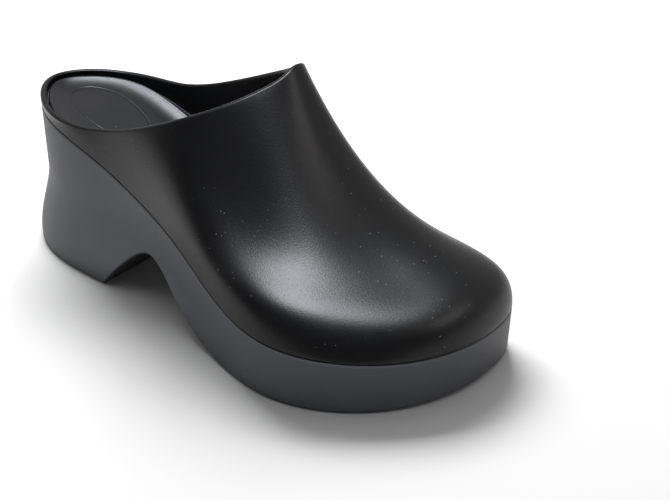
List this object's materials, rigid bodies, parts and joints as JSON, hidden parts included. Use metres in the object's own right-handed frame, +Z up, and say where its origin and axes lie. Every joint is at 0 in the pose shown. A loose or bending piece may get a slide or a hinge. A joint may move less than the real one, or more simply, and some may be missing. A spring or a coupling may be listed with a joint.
{
  "type": "rubber clog",
  "caption": "Backless closed-toe platform clog in moulded rubber with a flared block heel, arched waist and cupped footbed; right shoe.",
  "frame": {"origin": "middle of the shoe's bounding box, on the floor under the sole", "axes": "+X towards the toe, +Y towards the inner side of the foot, +Z up"},
  "size_m": [0.2568, 0.1036, 0.1142],
  "materials": {
    "upper_rubber": "smooth satin moulded rubber, black",
    "sole_rubber": "matt moulded rubber, charcoal",
    "footbed_rubber": "satin moulded rubber, black"
  },
  "bodies": {
    "root": {"upper": "upper_rubber", "sole": "sole_rubber", "insole": "footbed_rubber"}
  },
  "joints": []
}
